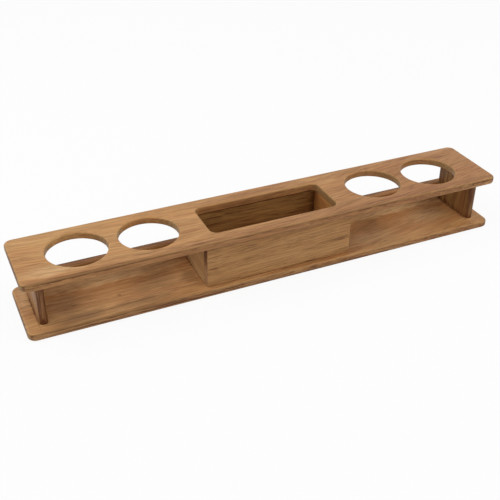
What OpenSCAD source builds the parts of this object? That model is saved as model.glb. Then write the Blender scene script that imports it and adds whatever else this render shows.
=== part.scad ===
/* [Boards] */
// Length of the top board and the base board
board_l = 700; // [684:1:780]
// Depth of both boards, front to back
board_w = 115; // [105:1:135]
// Thickness of both boards
board_t = 11; // [9:0.5:14]
// Plan radius of the boards' corners
corner_r = 11; // [6:0.5:18]
// Round-over along the edges of both boards
edge_r = 3.5; // [1:0.25:4]
// Height of the whole rack
rack_h = 85; // [75:1:110]

/* [Glass holes] */
// Diameter of each glass hole
hole_d = 80; // [70:0.5:86]
// Distance between the two holes of a pair
hole_pitch = 96; // [94:0.5:104]
// From a board's end to the centre of its outer hole
hole_inset = 83; // [80:0.5:90]
// Round-over at the mouths of the holes and of the centre well
rim_r = 3; // [1:0.25:3.5]

/* [Uprights] */
// Thickness of each upright
upright_t = 12; // [9:0.5:14]
// From a board's end to the outer face of its upright
upright_end_inset = 18; // [12:0.5:22]
// From the boards' front edge to the rounded nose of an upright
upright_nose_inset = 16.5; // [10:0.5:24]

/* [Centre box] */
// Length of the box outside its end panels
box_l = 217; // [190:1:225]
// From the boards' front or back edge to the box's outer face
box_inset = 8.5; // [6:0.5:12]
// Thickness of the four box panels
panel_t = 12; // [9:0.5:14]
// How far the top board reaches in over the panels' inner faces
well_lip = 2; // [0.5:0.5:4]
// Plan radius of the centre well's corners
well_corner_r = 10; // [5:0.5:16]
// Small rounding on the standing edges of the box's front and back
arris_r = 1; // [0.5:0.25:2]

/* [Back rails] */
// Height of the two low rails behind the glass bays
rail_h = 25.5; // [22:0.5:36]
// Round-over along the top of each rail
rail_round = 2; // [0.5:0.25:3]

/* [Dowels] */
// Diameter of the dowels
dowel_d = 6; // [5:0.5:6.5]
// How deep a dowel goes up or down into an upright, a panel or a rail
dowel_reach = 16; // [10:0.5:18]
// How deep the dowel from a rail goes forwards into its upright
back_dowel_reach = 10; // [8:0.5:12]
// Wood left between the end of a blind hole and the face behind it
blind_skin = 3; // [2:0.25:4]
// Glue room round a dowel
glue_gap = 0.05; // [0.02:0.01:0.1]
// Room left past a dowel's free end
dowel_end_room = 1; // [0.5:0.25:2]
// From an edge of a box panel to the nearest dowel
panel_dowel_inset = 38; // [30:0.5:45]
// From the middle of an upright to each of its dowels
upright_dowel_offset = 20; // [15:0.5:22]
// From the ends of a side panel, up or down, to its corner dowels
corner_dowel_inset = 16; // [12:0.5:20]
// From the ends of a rail to its dowels into the base
rail_dowel_inset = 45; // [30:0.5:60]

/* [Hidden] */
$fn = 64;

// How far a cutter runs past the face that it cuts through
past = 1;
SIDES = [-1, 1];

// Heights: the base lies on z = 0, and the frames stand between the boards
bay_z = board_t;
bay_h = rack_h - 2 * board_t;
top_z = rack_h - board_t;

// Places along X
hole_outer_x = board_l / 2 - hole_inset;
hole_inner_x = hole_outer_x - hole_pitch;
upright_outer_x = board_l / 2 - upright_end_inset;
upright_x = upright_outer_x - upright_t / 2;
side_x = (box_l - panel_t) / 2;

// Places along Y: the rails stand in one line with the box's back panel
box_w = board_w - 2 * box_inset;
panel_y = (box_w - panel_t) / 2;
side_l = box_w - 2 * panel_t;
back_line_y = box_w / 2 - panel_t;
nose_y = upright_nose_inset - board_w / 2;
upright_mid_y = (nose_y + back_line_y) / 2;

// The well in the top board
well_l = box_l - 2 * panel_t - 2 * well_lip;
well_w = side_l - 2 * well_lip;

// Rails run from the box to the outer faces of the uprights
rail_l = upright_outer_x - box_l / 2;
rail_x = (upright_outer_x + box_l / 2) / 2;

// Dowels: how deep they go across a board's or a panel's thickness
board_bite = board_t - blind_skin;
panel_bite = panel_t - blind_skin;
dowel_chamfer = 0.6;
flute_r = 0.45;
flute_facets = 24;
flutes = 6;

// Dowel places, each list a pattern of [x, y] or [x, z]
upright_places = [for (x = SIDES, y = SIDES)
    [x * upright_x, upright_mid_y + y * upright_dowel_offset]];
box_places = [for (x = SIDES, y = SIDES)
    [x * (box_l / 2 - panel_dowel_inset), y * panel_y]];
rail_places = [for (x = SIDES, i = SIDES)
    [x * rail_x + i * (rail_l / 2 - rail_dowel_inset), panel_y]];
corner_places = [for (x = SIDES, z = [bay_z + corner_dowel_inset, top_z - corner_dowel_inset])
    [x * side_x, z]];
rail_back_places = [for (x = SIDES) [x * upright_x, bay_z + rail_h / 2]];

TEAK = [0.72, 0.52, 0.33];
TEAK_LIGHT = [0.78, 0.6, 0.4];
TEAK_DARK = [0.6, 0.42, 0.26];
BEECH = [0.86, 0.74, 0.56];

// Half of a board's section, from its middle out to its rounded edge
module edge_section(half, thickness, round) {
    square([half - round, thickness]);
    translate([0, round]) square([half, thickness - 2 * round]);
    for (y = [round, thickness - round])
        translate([half - round, y]) circle(round);
}

// Half of an opening's section: straight below, flared by a round-over at
// the upper mouth and, where both is true, at the lower one
module mouth_section(half, thickness, round, both) {
    translate([0, -past]) square([half, thickness + 2 * past]);
    difference() {
        translate([0, thickness - round]) square([half + round, round + past]);
        translate([half + round, thickness - round]) circle(round);
    }
    if (both)
        difference() {
            translate([0, -past]) square([half + round, round + past]);
            translate([half + round, round]) circle(round);
        }
}

module half_section(half, thickness, round, opening, both) {
    if (opening)
        mouth_section(half, thickness, round, both);
    else
        edge_section(half, thickness, round);
}

module whole_section(half, thickness, round, opening, both) {
    for (side = [0, 1])
        mirror([side, 0]) half_section(half, thickness, round, opening, both);
}

// A rectangle with round corners whose edge has the given section:
// two crossing bars and four turned corners
module rounded_plate(l, w, thickness, corner, round, opening = false, both = false) {
    rotate([90, 0, 90]) linear_extrude(l - 2 * corner, center = true)
        whole_section(w / 2, thickness, round, opening, both);
    rotate([90, 0, 0]) linear_extrude(w - 2 * corner, center = true)
        whole_section(l / 2, thickness, round, opening, both);
    for (quarter = [0:3]) {
        x = (quarter == 0 || quarter == 3 ? 1 : -1) * (l / 2 - corner);
        y = (quarter < 2 ? 1 : -1) * (w / 2 - corner);
        translate([x, y, 0]) rotate(90 * quarter) rotate_extrude(angle = 90)
            half_section(corner, thickness, round, opening, both);
    }
}

// A hole straight up through a board, with its mouths rounded over
module glass_hole() {
    rotate_extrude() mouth_section(hole_d / 2, board_t, rim_r, true);
}

// A blind hole for one dowel, upwards from z = 0, open below
module blind_hole(depth) {
    translate([0, 0, -past]) cylinder(d = dowel_d + 2 * glue_gap, h = depth + past);
}

// A fluted dowel that stands on z = 0
module dowel(length) {
    difference() {
        union() {
            cylinder(d1 = dowel_d - 2 * dowel_chamfer, d2 = dowel_d, h = dowel_chamfer);
            translate([0, 0, dowel_chamfer]) cylinder(d = dowel_d, h = length - 2 * dowel_chamfer);
            translate([0, 0, length - dowel_chamfer])
                cylinder(d1 = dowel_d, d2 = dowel_d - 2 * dowel_chamfer, h = dowel_chamfer);
        }
        for (i = [0:flutes - 1])
            rotate(360 / flutes * i) translate([dowel_d / 2, 0, -past])
                cylinder(r = flute_r, h = length + 2 * past, $fn = flute_facets);
    }
}

// Puts its children at each place of a pattern on a level plane
module at_places(places, z) {
    for (place = places)
        translate([place[0], place[1], z]) children();
}

// Dowels between a board and what stands on it; they bottom in the board
module base_dowels(places) {
    at_places(places, bay_z - board_bite) dowel(board_bite + dowel_reach);
}

module top_dowels(places) {
    at_places(places, top_z - dowel_reach) dowel(board_bite + dowel_reach);
}

// Holes for those dowels in the boards, and in what stands between them
module base_board_holes(places) {
    at_places(places, bay_z) mirror([0, 0, 1]) blind_hole(board_bite);
}

module top_board_holes(places) {
    at_places(places, top_z) blind_hole(board_bite);
}

module standing_base_holes(places) {
    at_places(places, bay_z) blind_hole(dowel_reach + dowel_end_room);
}

module standing_top_holes(places) {
    at_places(places, top_z) mirror([0, 0, 1]) blind_hole(dowel_reach + dowel_end_room);
}

module base_board() {
    color(TEAK) difference() {
        rounded_plate(board_l, board_w, board_t, corner_r, edge_r);
        base_board_holes(upright_places);
        base_board_holes(box_places);
        base_board_holes(rail_places);
    }
}

module top_board() {
    color(TEAK_LIGHT) difference() {
        translate([0, 0, top_z]) rounded_plate(board_l, board_w, board_t, corner_r, edge_r);
        for (side = SIDES, x = [hole_inner_x, hole_outer_x])
            translate([side * x, 0, top_z]) glass_hole();
        translate([0, 0, top_z])
            rounded_plate(well_l, well_w, board_t, well_corner_r, rim_r, opening = true);
        top_board_holes(upright_places);
        top_board_holes(box_places);
    }
}

// An upright: a strip with a full round nose in front and a square back
module upright(side) {
    color(TEAK_DARK) difference() {
        translate([side * upright_x, 0, bay_z]) linear_extrude(bay_h) union() {
            translate([0, nose_y + upright_t / 2]) circle(d = upright_t);
            translate([-upright_t / 2, nose_y + upright_t / 2])
                square([upright_t, back_line_y - nose_y - upright_t / 2]);
        }
        standing_base_holes(upright_places);
        standing_top_holes(upright_places);
        for (place = rail_back_places)
            translate([place[0], back_line_y, place[1]]) rotate([90, 0, 0])
                blind_hole(back_dowel_reach + dowel_end_room);
    }
}

module left_upright() {
    upright(-1);
}

module right_upright() {
    upright(1);
}

// Front or back of the box, with its outer standing edges eased
module long_panel(side) {
    difference() {
        translate([0, side * panel_y, bay_z]) linear_extrude(bay_h) union() {
            square([box_l - 2 * arris_r, panel_t], center = true);
            square([box_l, panel_t - 2 * arris_r], center = true);
            for (x = SIDES, y = SIDES)
                translate([x * (box_l / 2 - arris_r), y * (panel_t / 2 - arris_r)]) circle(arris_r);
        }
        standing_base_holes(box_places);
        standing_top_holes(box_places);
        corner_holes(panel_bite, 1);
    }
}

// Horizontal holes at the four box corners, outwards from the side panels'
// ends when way is 1 and inwards along the side panels when way is -1
module corner_holes(depth, way) {
    for (side = SIDES, place = corner_places)
        translate([place[0], side * side_l / 2, place[1]]) rotate([-90 * side * way, 0, 0])
            blind_hole(depth);
}

module box_front() {
    color(TEAK_LIGHT) long_panel(-1);
}

module box_back() {
    color(TEAK_DARK) long_panel(1);
}

module side_panel(side) {
    color(TEAK) difference() {
        translate([side * side_x, 0, bay_z + bay_h / 2])
            cube([panel_t, side_l, bay_h], center = true);
        corner_holes(dowel_reach + dowel_end_room, -1);
    }
}

module box_left_side() {
    side_panel(-1);
}

module box_right_side() {
    side_panel(1);
}

// A low rail behind one pair of glasses, its top arrises rounded
module rail(side) {
    color(TEAK_DARK) difference() {
        translate([side * rail_x, panel_y, bay_z]) rotate([90, 0, 90])
            linear_extrude(rail_l, center = true) union() {
                translate([-panel_t / 2, 0]) square([panel_t, rail_h - rail_round]);
                translate([rail_round - panel_t / 2, 0]) square([panel_t - 2 * rail_round, rail_h]);
                for (y = SIDES)
                    translate([y * (panel_t / 2 - rail_round), rail_h - rail_round])
                        circle(rail_round);
            }
        standing_base_holes(rail_places);
        for (place = rail_back_places)
            translate([place[0], back_line_y, place[1]]) rotate([-90, 0, 0]) blind_hole(panel_bite);
    }
}

module left_rail() {
    rail(-1);
}

module right_rail() {
    rail(1);
}

module upright_base_dowels() {
    color(BEECH) base_dowels(upright_places);
}

module upright_top_dowels() {
    color(BEECH) top_dowels(upright_places);
}

module box_base_dowels() {
    color(BEECH) base_dowels(box_places);
}

module box_top_dowels() {
    color(BEECH) top_dowels(box_places);
}

// Dowels that tie the box's side panels to its front and back
module box_corner_dowels() {
    color(BEECH)
        for (side = SIDES, place = corner_places)
            translate([place[0], side * (side_l / 2 + panel_bite), place[1]])
                rotate([90 * side, 0, 0]) dowel(panel_bite + dowel_reach);
}

module rail_base_dowels() {
    color(BEECH) base_dowels(rail_places);
}

// Dowels that tie each rail to the back of its upright
module rail_upright_dowels() {
    color(BEECH)
        for (place = rail_back_places)
            translate([place[0], back_line_y + panel_bite, place[1]])
                rotate([90, 0, 0]) dowel(panel_bite + back_dowel_reach);
}

base_board();
top_board();
left_upright();
right_upright();
box_front();
box_back();
box_left_side();
box_right_side();
left_rail();
right_rail();
upright_base_dowels();
upright_top_dowels();
box_base_dowels();
box_top_dowels();
box_corner_dowels();
rail_base_dowels();
rail_upright_dowels();
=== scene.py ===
# %% [markdown]
# # A teak rack for glasses, with a box in the middle
#
# The rack is plain joinery: two long boards, held apart by two uprights and a
# small box, with a low rail behind each pair of glass holes. Its looks live in
# the wood. So this lesson spends most of its cells on how oiled teak is built
# up from a few simple patterns, and on edges that look sanded by hand.
#
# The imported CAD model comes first. Everything else takes its size and place
# from it, and nothing moves it.

# %% Load the frame
import math

import bmesh
import bpy
from mathutils import Matrix, Vector


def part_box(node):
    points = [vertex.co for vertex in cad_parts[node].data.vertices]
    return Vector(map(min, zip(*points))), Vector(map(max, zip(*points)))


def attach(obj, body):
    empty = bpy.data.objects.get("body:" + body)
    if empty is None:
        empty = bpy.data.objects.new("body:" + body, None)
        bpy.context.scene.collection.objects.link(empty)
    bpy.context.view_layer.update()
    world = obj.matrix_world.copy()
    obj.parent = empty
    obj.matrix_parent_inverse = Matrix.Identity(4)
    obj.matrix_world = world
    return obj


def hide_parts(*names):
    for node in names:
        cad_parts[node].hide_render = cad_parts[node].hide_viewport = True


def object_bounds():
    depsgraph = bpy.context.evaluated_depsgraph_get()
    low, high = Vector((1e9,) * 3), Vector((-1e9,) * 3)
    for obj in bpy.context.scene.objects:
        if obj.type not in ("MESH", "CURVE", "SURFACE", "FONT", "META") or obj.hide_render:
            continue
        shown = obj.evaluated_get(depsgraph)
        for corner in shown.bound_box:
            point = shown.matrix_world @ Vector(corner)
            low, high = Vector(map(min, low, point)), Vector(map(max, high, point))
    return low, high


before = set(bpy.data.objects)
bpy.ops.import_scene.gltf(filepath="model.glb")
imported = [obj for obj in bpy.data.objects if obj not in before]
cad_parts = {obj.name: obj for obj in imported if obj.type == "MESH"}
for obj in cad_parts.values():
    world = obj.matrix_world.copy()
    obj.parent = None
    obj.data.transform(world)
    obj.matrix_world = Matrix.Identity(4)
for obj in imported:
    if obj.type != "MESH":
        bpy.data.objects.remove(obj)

cad_low, cad_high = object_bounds()
print("CAD box in metres:", tuple(cad_low), tuple(cad_high))
print("nodes:", ", ".join(sorted(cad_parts)))

# %% [markdown]
# ## The camera
#
# A camera is a place and three turns. Yaw turns it left or right on a tripod,
# pitch tips it down, and roll leans it sideways. We build its three axes from
# these turns by hand, because then each number means one thing. A fairly long
# lens keeps the boards' long edges nearly parallel.

# %% Camera
CAMERA_PLACE = Vector((-0.4375, -0.8998, 0.6583))
CAMERA_YAW = math.radians(24.664)
CAMERA_PITCH = math.radians(32.817)
CAMERA_ROLL = math.radians(0.469)
SENSOR_WIDTH = 36.0
LENS = 59.93


def camera_axes(yaw, pitch, roll):
    """The right, up and forward directions of a camera with these turns."""
    forward = Vector((
        math.sin(yaw) * math.cos(pitch), math.cos(yaw) * math.cos(pitch), -math.sin(pitch)))
    level_right = Vector((math.cos(yaw), -math.sin(yaw), 0))
    level_up = level_right.cross(forward)
    right = level_right * math.cos(roll) + level_up * math.sin(roll)
    up = level_up * math.cos(roll) - level_right * math.sin(roll)
    return right, up, forward


def make_camera():
    """A camera that stands at its place and looks along its own axes."""
    data = bpy.data.cameras.new("camera")
    data.sensor_width = SENSOR_WIDTH
    data.lens = LENS
    camera = bpy.data.objects.new("camera", data)
    right, up, forward = camera_axes(CAMERA_YAW, CAMERA_PITCH, CAMERA_ROLL)
    turn = Matrix((right, up, -forward)).transposed().to_4x4()
    camera.matrix_world = Matrix.Translation(CAMERA_PLACE) @ turn
    bpy.context.scene.collection.objects.link(camera)
    bpy.context.scene.camera = camera
    return camera


camera = make_camera()
rack_middle = (cad_low + cad_high) / 2
print("camera is", round((camera.location - rack_middle).length, 3), "m from the middle of the rack")

# %% [markdown]
# ## Light
#
# The rack stands in a bright, even room, so the world lights it from all sides.
# Where the world is seen, directly or in a mirror, it is plain white, and the
# light that it sends to the rack has a strength of its own. The colours stay as
# written only under the plain Standard view.

# %% View and world
WORLD_STRENGTH = 0.56
bpy.context.scene.view_settings.view_transform = "Standard"


def seen_share(nodes, links):
    """One where the eye or a mirror looks, zero where light only arrives."""
    path = nodes.new("ShaderNodeLightPath")
    share = path.outputs["Is Camera Ray"]
    for ray in ("Is Glossy Ray", "Is Transmission Ray"):
        either = nodes.new("ShaderNodeMath")
        either.operation = "MAXIMUM"
        links.new(share, either.inputs[0])
        links.new(path.outputs[ray], either.inputs[1])
        share = either.outputs[0]
    return share


def make_world():
    """An even white surround that shows as plain white behind the object."""
    world = bpy.data.worlds.new("white_room")
    world.use_nodes = True
    nodes, links = world.node_tree.nodes, world.node_tree.links
    nodes.clear()
    fill = nodes.new("ShaderNodeBackground")
    fill.inputs["Color"].default_value = (1, 1, 1, 1)
    fill.inputs["Strength"].default_value = WORLD_STRENGTH
    seen = nodes.new("ShaderNodeBackground")
    seen.inputs["Color"].default_value = (1, 1, 1, 1)
    seen.inputs["Strength"].default_value = 1.0
    mix = nodes.new("ShaderNodeMixShader")
    out = nodes.new("ShaderNodeOutputWorld")
    links.new(seen_share(nodes, links), mix.inputs["Fac"])
    links.new(fill.outputs[0], mix.inputs[1])
    links.new(seen.outputs[0], mix.inputs[2])
    links.new(mix.outputs[0], out.inputs["Surface"])
    bpy.context.scene.world = world
    return world


world = make_world()
print(f"{world.name} lights the rack with a strength of {WORLD_STRENGTH}")

# %% [markdown]
# Large lamps add soft shadows. Their size and distance set how soft the shadows
# are, and their powers set the balance. One stands behind the rack on the left,
# and the other in front of it on the right.

# %% Lamps
LAMP_DISTANCE = 1.8
LAMP_SIZE = 0.9
LAMPS = [
    # name, azimuth and elevation in degrees, watts; azimuth 0 is in front, 90 at the right
    ("back_left_lamp", 240, 50, 9.2),
    ("front_right_lamp", 60, 50, 7.0),
]


def make_lamp(name, azimuth, elevation, power):
    """A square area lamp that faces the rack from afar."""
    turn, rise = math.radians(azimuth), math.radians(elevation)
    way = Vector((math.sin(turn) * math.cos(rise), -math.cos(turn) * math.cos(rise), math.sin(rise)))
    data = bpy.data.lights.new(name, "AREA")
    data.size = LAMP_SIZE
    data.energy = power
    lamp = bpy.data.objects.new(name, data)
    lamp.location = way * LAMP_DISTANCE + Vector((0, 0, cad_high.z / 2))
    lamp.rotation_euler = way.to_track_quat("Z", "Y").to_euler()
    bpy.context.scene.collection.objects.link(lamp)
    return lamp


lamps = [make_lamp(*row) for row in LAMPS]
print("lamps:", ", ".join(f"{lamp.name} {lamp.data.energy:g} W" for lamp in lamps))

# %% [markdown]
# ## Floor
#
# The floor takes the rack's shadow and sends some light back up. To the eye it
# has to be about as white as the world, with the shadow as a faint grey on it. So
# it is a matt surface for the light, and mostly plain white for the camera.

# %% Floor
FLOOR_HALF = 6.0
FLOOR_COLOUR = (0.9, 0.9, 0.9, 1)
SHADOW_SHARE = 0.08


def floor_material():
    """Pale and matt to the light, and nearly plain white to the camera."""
    material = bpy.data.materials.new("pale_floor")
    material.use_nodes = True
    nodes, links = material.node_tree.nodes, material.node_tree.links
    nodes.clear()
    matt = nodes.new("ShaderNodeBsdfDiffuse")
    matt.inputs["Color"].default_value = FLOOR_COLOUR
    white = nodes.new("ShaderNodeEmission")
    white.inputs["Color"].default_value = (1, 1, 1, 1)
    white.inputs["Strength"].default_value = 1.0
    share = nodes.new("ShaderNodeMath")
    share.operation = "MULTIPLY"
    share.inputs[1].default_value = 1 - SHADOW_SHARE
    mix = nodes.new("ShaderNodeMixShader")
    out = nodes.new("ShaderNodeOutputMaterial")
    links.new(seen_share(nodes, links), share.inputs[0])
    links.new(share.outputs[0], mix.inputs["Fac"])
    links.new(matt.outputs[0], mix.inputs[1])
    links.new(white.outputs[0], mix.inputs[2])
    links.new(mix.outputs[0], out.inputs["Surface"])
    return material


def make_floor():
    """A wide square under the rack, which is there for the picture only."""
    bm = bmesh.new()
    bmesh.ops.create_grid(bm, x_segments=1, y_segments=1, size=FLOOR_HALF)
    mesh = bpy.data.meshes.new("floor")
    bm.to_mesh(mesh)
    bm.free()
    floor = bpy.data.objects.new("floor", mesh)
    floor.data.materials.append(floor_material())
    bpy.context.scene.collection.objects.link(floor)
    return floor


floor = make_floor()
print(f"{floor.name}: {2 * FLOOR_HALF:g} m wide")

# %% [markdown]
# ## Carrying a line round an outline
#
# A woodworker shapes these pieces with a router: the cutter's profile is
# carried round the edge of the board. The same idea works in bmesh. We stand a
# short chain of vertices on the outline, turn it round each corner with spin,
# and push it along each straight side with an extrusion. Every face comes from
# one of these two moves, and the curved parts get just the steps they need.

# %% A chain of vertices, and its two moves
QUARTER = math.pi / 2
ROUND_STEPS = 6
Y = Vector((0, 1, 0))
Z = Vector((0, 0, 1))


def stand_chain(bm, points):
    """Joined vertices at these points, as one loose chain to carry along."""
    verts = [bm.verts.new(point) for point in points]
    edges = [bm.edges.new(pair) for pair in zip(verts, verts[1:])]
    return verts + edges


def turn_chain(bm, chain, centre, angle, steps):
    """Spin the chain part of a turn about an upright line, and return its far end."""
    spun = bmesh.ops.spin(
        bm, geom=chain, cent=centre, axis=Z, dvec=(0, 0, 0), angle=angle, steps=steps)
    return spun["geom_last"]


def turn_full(bm, chain, centre, axis, steps):
    """Spin the chain a full turn, until it meets itself."""
    bmesh.ops.spin(
        bm, geom=chain, cent=centre, axis=axis, dvec=(0, 0, 0), angle=4 * QUARTER,
        steps=steps, use_merge=True)


def push_chain(bm, chain, way):
    """Extrude the chain straight along a way, and return its far end."""
    edges = [part for part in chain if isinstance(part, bmesh.types.BMEdge)]
    pushed = bmesh.ops.extrude_edge_only(bm, edges=edges)["geom"]
    ends = [part for part in pushed if isinstance(part, bmesh.types.BMVert)]
    bmesh.ops.translate(bm, verts=ends, vec=way)
    return ends + [part for part in pushed if isinstance(part, bmesh.types.BMEdge)
                   and part.verts[0] in ends and part.verts[1] in ends]


def arc(out, height, radius, start, stop, steps=ROUND_STEPS):
    """Points of a part circle in a section, as (distance out, height) pairs."""
    angles = [math.radians(start + (stop - start) * step / steps) for step in range(steps + 1)]
    return [(out + radius * math.cos(angle), height + radius * math.sin(angle)) for angle in angles]


print("a quarter round in a profile takes", ROUND_STEPS, "steps")

# %% [markdown]
# Most outlines here are rectangles with turned corners. Carrying a profile round
# one of them takes four turns and four pushes. The last push ends where the first
# turn began, so the vertices that meet there are joined.

# %% Carry a profile round a rectangle
CORNER_STEPS = 12
WELD = 2e-6


def weld(bm):
    """Join vertices that lie on the same spot."""
    bmesh.ops.remove_doubles(bm, verts=bm.verts, dist=WELD)


def carry_round(bm, profile, reach_x, reach_y, steps=CORNER_STEPS):
    """Carry a profile once round a rectangle with turned corners.

    The corner centres stand at plus and minus the two reaches, and the profile's
    points are measured outwards from a corner's centre.
    """
    chain = stand_chain(bm, [(reach_x + out, reach_y, height) for out, height in profile])
    signs = [(1, 1), (-1, 1), (-1, -1), (1, -1)]
    for (x, y), (next_x, next_y) in zip(signs, signs[1:] + signs[:1]):
        chain = turn_chain(bm, chain, (x * reach_x, y * reach_y, 0), QUARTER, steps)
        chain = push_chain(bm, chain, ((next_x - x) * reach_x, (next_y - y) * reach_y, 0))
    weld(bm)


print("a turned corner takes", CORNER_STEPS, "steps")

# %% [markdown]
# ## Blind holes and flat faces
#
# Hidden dowels join the pieces, so each piece has blind holes where it meets its
# neighbour. A hole here is turned like a cup: wall and floor, with an open rim
# in the piece's face. The flat face is filled last. A triangle fill closes
# everything between the outline and the rims in one go, so no cutting is needed
# and no thin slivers are left behind.

# %% Drill and fill
DOWEL_RADIUS = 0.003
GLUE_ROOM = 0.00005
BORE_RADIUS = DOWEL_RADIUS + GLUE_ROOM
BORE_STEPS = 24
FACE_REACH = 1e-5


def drill(bm, mouth, way, depth):
    """A blind hole as an open cup, turned round the line it is drilled along."""
    aside = way.orthogonal().normalized() * BORE_RADIUS
    mouth = Vector(mouth)
    chain = stand_chain(bm, [mouth + aside, mouth + aside + way * depth, mouth + way * depth])
    turn_full(bm, chain, mouth, way, BORE_STEPS)
    weld(bm)


def lies_at(part, way, level):
    """Whether all corners of a face or an edge lie at this level along a way."""
    return all(abs(vert.co.dot(way) - level) < FACE_REACH for vert in part.verts)


def open_face(bm, way, level):
    """Take out the flat faces that lie at this level along a way."""
    flat = [face for face in bm.faces if lies_at(face, way, level)]
    bmesh.ops.delete(bm, geom=flat, context="FACES_ONLY")


def fill_face(bm, way, level):
    """Fill the open outline at this level, and leave its holes open."""
    rims = [edge for edge in bm.edges
            if (edge.is_boundary or edge.is_wire) and lies_at(edge, way, level)]
    bmesh.ops.triangle_fill(bm, edges=rims, use_beauty=True, normal=way)


print("blind holes are", round(2 * BORE_RADIUS, 5), "m across")

# %% [markdown]
# The dowels stand in the frame already, so their boxes say where the holes go.
# Places that are measured there can't drift away from the dowels.

# %% Dowel places
def outer_places(node):
    """The X and Y places of the outermost dowels in a node, from its box."""
    low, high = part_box(node)
    inset = Vector((DOWEL_RADIUS, DOWEL_RADIUS, 0))
    low, high = low + inset, high - inset
    return [(x, y) for x in (low.x, high.x) for y in (low.y, high.y)]


upright_places = outer_places("upright_base_dowels")
box_places = outer_places("box_base_dowels")
rail_low, rail_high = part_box("right_rail")
rail_dowels_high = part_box("rail_base_dowels")[1]
rail_dowel_inset = rail_high.x - (rail_dowels_high.x - DOWEL_RADIUS)
rail_dowel_y = rail_dowels_high.y - DOWEL_RADIUS
rail_places = [(side * x, rail_dowel_y) for side in (-1, 1)
               for x in (rail_low.x + rail_dowel_inset, rail_high.x - rail_dowel_inset)]
for name, places in (("upright", upright_places), ("box", box_places), ("rail", rail_places)):
    print(name, "dowels stand at", [(round(x, 4), round(y, 4)) for x, y in places])

# %% [markdown]
# ## Finishing a piece
#
# Every piece ends in the same way. Its doubles are joined, its faces are turned
# outwards, and edges that turn by a set angle or more stay sharp. Then it takes
# the place of its CAD node. The count of open edges has to be zero, because a
# piece of solid wood has no gap in its skin.

# %% Finish a piece
SHARP_ANGLE = math.radians(35)


def finish_piece(bm, name, slot):
    """Turn a bmesh into a piece that stands in for its CAD node."""
    weld(bm)
    bmesh.ops.recalc_face_normals(bm, faces=bm.faces)
    for face in bm.faces:
        face.smooth = True
    for edge in bm.edges:
        edge.smooth = edge.calc_face_angle(0) < SHARP_ANGLE
    open_edges = [edge for edge in bm.edges if not edge.is_manifold]
    mesh = bpy.data.meshes.new(name)
    bm.to_mesh(mesh)
    bm.free()
    piece = bpy.data.objects.new("wood_" + name, mesh)
    bpy.context.scene.collection.objects.link(piece)
    shading = piece.modifiers.new("flat_faces_shade_flat", "WEIGHTED_NORMAL")
    shading.keep_sharp = True
    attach(piece, "root")
    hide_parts(name)
    print(f"{piece.name}: {len(mesh.polygons)} faces, {len(open_edges)} open edges, {slot}")
    return piece


print("edges stay sharp from", round(math.degrees(SHARP_ANGLE)), "degrees")

# %% [markdown]
# ## The two boards
#
# Both boards have the same outline: a long rectangle with small turned corners
# and a round-over above and below. The base board needs only that, and blind
# holes from above, which stop a little short of its underside.

# %% Base board
BOARD_CORNER = 0.011
BOARD_ROUND = 0.0035
BLIND_SKIN = 0.003
base_low, base_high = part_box("base_board")
board_thick = base_high.z - base_low.z
board_bite = board_thick - BLIND_SKIN
reach_x = base_high.x - BOARD_CORNER
reach_y = base_high.y - BOARD_CORNER


def edge_profile(bottom):
    """The rounded edge of a board whose underside is at this height."""
    out = BOARD_CORNER - BOARD_ROUND
    lower = arc(out, bottom + BOARD_ROUND, BOARD_ROUND, -90, 0)
    upper = arc(out, bottom + board_thick - BOARD_ROUND, BOARD_ROUND, 0, 90)
    return lower + upper


def make_base_board():
    bm = bmesh.new()
    carry_round(bm, edge_profile(base_low.z), reach_x, reach_y)
    for x, y in upright_places + box_places + rail_places:
        drill(bm, (x, y, base_high.z), -Z, board_bite)
    fill_face(bm, Z, base_high.z)
    fill_face(bm, Z, base_low.z)
    return finish_piece(bm, "base_board", "teak_base")


base_board = make_base_board()

# %% [markdown]
# The top board adds four round holes for glasses and the well over the box. A
# hole's profile is rounded at both mouths and spun a full turn. The well's is
# rounded only above, because its lip lies on the box's panels, and it is carried
# round a rectangle as the board's own edge is.

# %% Top board
RIM_ROUND = 0.003
HOLE_RADIUS = 0.040
HOLE_STEPS = 96
HOLE_INSET = 0.083
HOLE_PITCH = 0.096
WELL_CORNER = 0.010
WELL_LIP = 0.002
top_low, top_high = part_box("top_board")
hole_places = [side * (top_high.x - HOLE_INSET - step * HOLE_PITCH)
               for side in (-1, 1) for step in (0, 1)]
side_low, side_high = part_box("box_right_side")
well_reach_x = side_low.x - WELL_LIP - WELL_CORNER
well_reach_y = side_high.y - WELL_LIP - WELL_CORNER


def hole_profile(radius, both_mouths):
    """An opening's wall, with a round-over at the top and, if asked, below."""
    upper = arc(radius + RIM_ROUND, top_high.z - RIM_ROUND, RIM_ROUND, 90, 180)
    if both_mouths:
        return upper + arc(radius + RIM_ROUND, top_low.z + RIM_ROUND, RIM_ROUND, 180, 270)
    return upper + [(radius, top_low.z)]


def make_top_board():
    bm = bmesh.new()
    carry_round(bm, edge_profile(top_low.z), reach_x, reach_y)
    carry_round(bm, hole_profile(WELL_CORNER, False), well_reach_x, well_reach_y)
    hole_wall = hole_profile(HOLE_RADIUS, True)
    for x in hole_places:
        chain = stand_chain(bm, [(x + out, 0, height) for out, height in hole_wall])
        turn_full(bm, chain, (x, 0, 0), Z, HOLE_STEPS)
    for x, y in upright_places + box_places:
        drill(bm, (x, y, top_low.z), Z, board_bite)
    fill_face(bm, Z, top_high.z)
    fill_face(bm, Z, top_low.z)
    return finish_piece(bm, "top_board", "teak_top")


top_board = make_top_board()

# %% [markdown]
# ## Uprights
#
# Each upright is a strip with a full round nose. One upright edge is spun half a
# turn for the nose and then pushed back, across and forward again to where it
# started. The grain stands up in these pieces, so their ends meet the boards, and
# the long dowel holes run into the end grain.

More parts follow.
